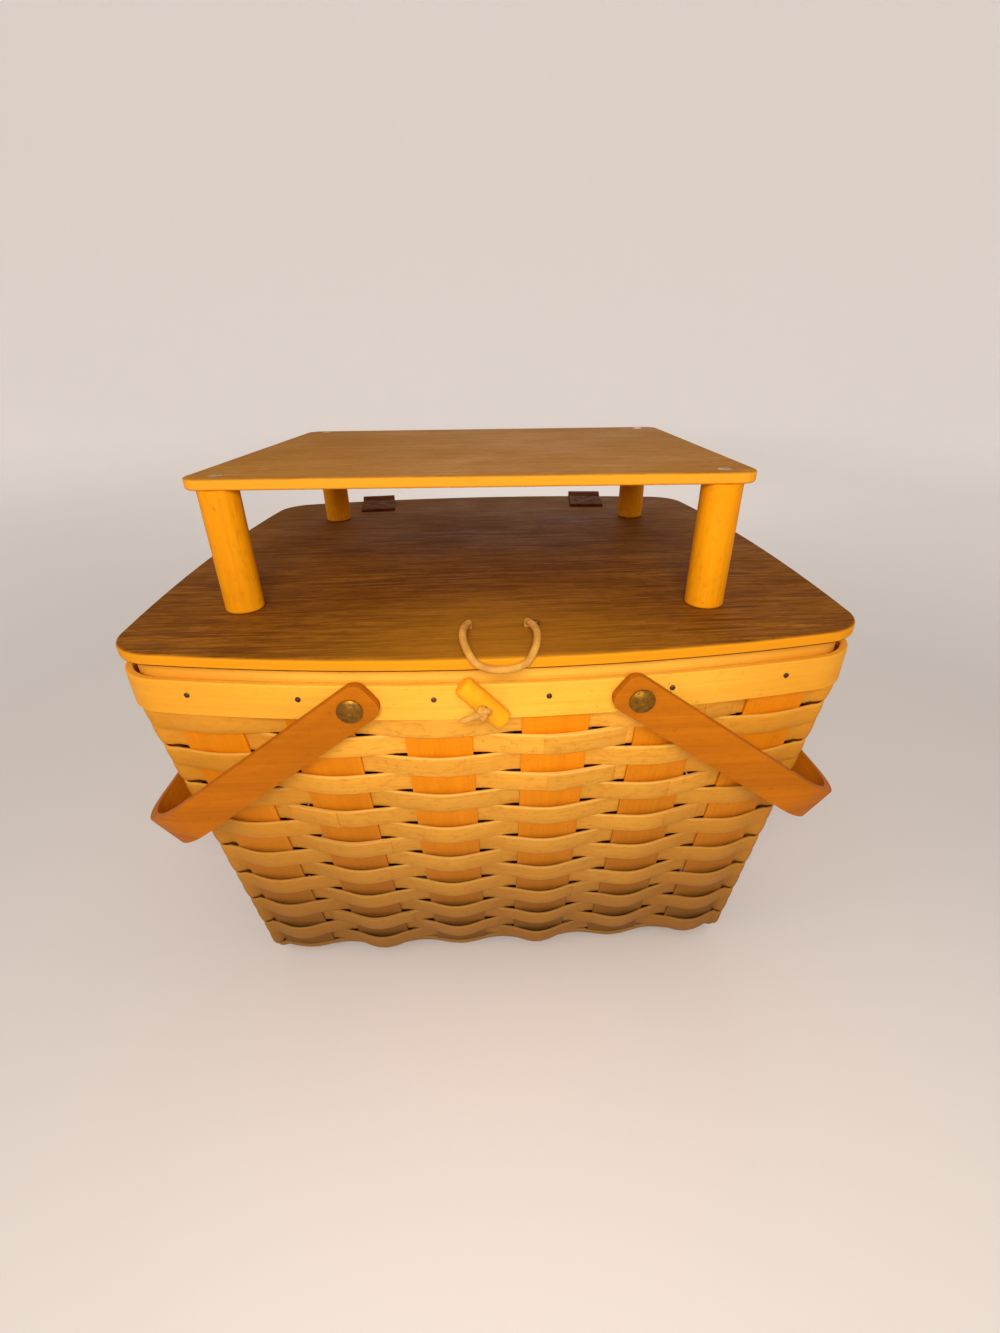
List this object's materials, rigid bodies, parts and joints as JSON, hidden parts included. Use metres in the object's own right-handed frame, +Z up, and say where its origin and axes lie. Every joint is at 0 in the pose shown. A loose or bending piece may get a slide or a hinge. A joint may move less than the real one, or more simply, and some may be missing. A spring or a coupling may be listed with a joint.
{
  "type": "woven pie basket",
  "caption": "Splint-woven wooden basket with a hinged board lid, swing handles, a loop and toggle closure, and a loose legged shelf on top.",
  "frame": {"origin": "middle of the woven base, on the surface that the basket stands on", "axes": "+Z up, the front of the basket, with the loop and toggle, faces -Y, +X to its right"},
  "size_m": [0.3698, 0.3597, 0.3028],
  "materials": {
    "weaver_wood": "satin stained maple",
    "splint_wood": "satin stained maple",
    "rim_wood": "satin stained maple",
    "handle_wood": "satin stained maple",
    "lid_wood": "satin stained board",
    "shelf_wood": "satin stained board",
    "leg_wood": "satin stained dowel",
    "toggle_wood": "bare dowel",
    "hinge_leather": "dark red-brown",
    "lace_leather": "light tan",
    "rivet_brass": "antique brass",
    "tack_steel": "dark tack",
    "screw_steel": "dull screw"
  },
  "bodies": {
    "basket": {"splint_lengthwise_1": "splint_wood", "splint_lengthwise_2": "splint_wood", "splint_lengthwise_3": "splint_wood", "splint_lengthwise_4": "splint_wood", "splint_lengthwise_5": "splint_wood", "splint_lengthwise_6": "splint_wood", "splint_crosswise_1": "splint_wood", "splint_crosswise_2": "splint_wood", "splint_crosswise_3": "splint_wood", "splint_crosswise_4": "splint_wood", "splint_crosswise_5": "splint_wood", "weaver_row_01": "weaver_wood", "weaver_row_02": "weaver_wood", "weaver_row_03": "weaver_wood", "weaver_row_04": "weaver_wood", "weaver_row_05": "weaver_wood", "weaver_row_06": "weaver_wood", "weaver_row_07": "weaver_wood", "weaver_row_08": "weaver_wood", "weaver_row_09": "weaver_wood", "weaver_row_10": "weaver_wood", "weaver_row_11": "weaver_wood", "weaver_row_12": "weaver_wood", "weaver_row_13": "weaver_wood", "weaver_row_14": "weaver_wood", "weaver_row_15": "weaver_wood", "weaver_row_16": "weaver_wood", "outer_rim_band": "rim_wood", "inner_rim_hoop": "rim_wood", "rim_tacks": "tack_steel", "hinge_tacks": "tack_steel", "handle_rivets": "rivet_brass", "rivet_washers": "rivet_brass", "toggle_tie": "lace_leather"},
    "lid": {"lid_panel": "lid_wood", "hinge_strap_left": "hinge_leather", "hinge_strap_right": "hinge_leather", "loop_knots": "lace_leather"},
    "handle_left": {"handle_left": "handle_wood"},
    "handle_right": {"handle_right": "handle_wood"},
    "loop": {"closure_loop": "lace_leather"},
    "toggle": {"toggle_peg": "toggle_wood"},
    "shelf": {"shelf_board": "shelf_wood", "shelf_leg_1": "leg_wood", "shelf_leg_2": "leg_wood", "shelf_leg_3": "leg_wood", "shelf_leg_4": "leg_wood", "shelf_screws": "screw_steel"}
  },
  "joints": [
    {"name": "lid_hinge", "type": "hinge", "parent": "basket", "child": "lid", "pos_m": [0, 0.1635, 0.23], "axis": [-1, 0, 0], "range_deg": [0, 95], "deforming": ["hinge_strap_left", "hinge_strap_right"]},
    {"name": "handle_left_swing", "type": "hinge", "parent": "basket", "child": "handle_left", "pos_m": [-0.0642, 0, 0.21455], "axis": [0, -1, 0], "range_deg": [-148, 0]},
    {"name": "handle_right_swing", "type": "hinge", "parent": "basket", "child": "handle_right", "pos_m": [0.0642, 0, 0.21455], "axis": [0, 1, 0], "range_deg": [-148, 0]},
    {"name": "loop_flip", "type": "hinge", "parent": "lid", "child": "loop", "pos_m": [0.0023, -0.135, 0.2385], "axis": [-1, 0, 0], "range_deg": [0, 95]},
    {"name": "toggle_turn", "type": "hinge", "parent": "basket", "child": "toggle", "pos_m": [-0.006, -0.1739, 0.21755], "axis": [0, 1, 0], "range_deg": [-90, 90]},
    {"name": "shelf_lift", "type": "slide", "parent": "lid", "child": "shelf", "axis": [0, 0, 1], "range_m": [0, 0.12]}
  ]
}
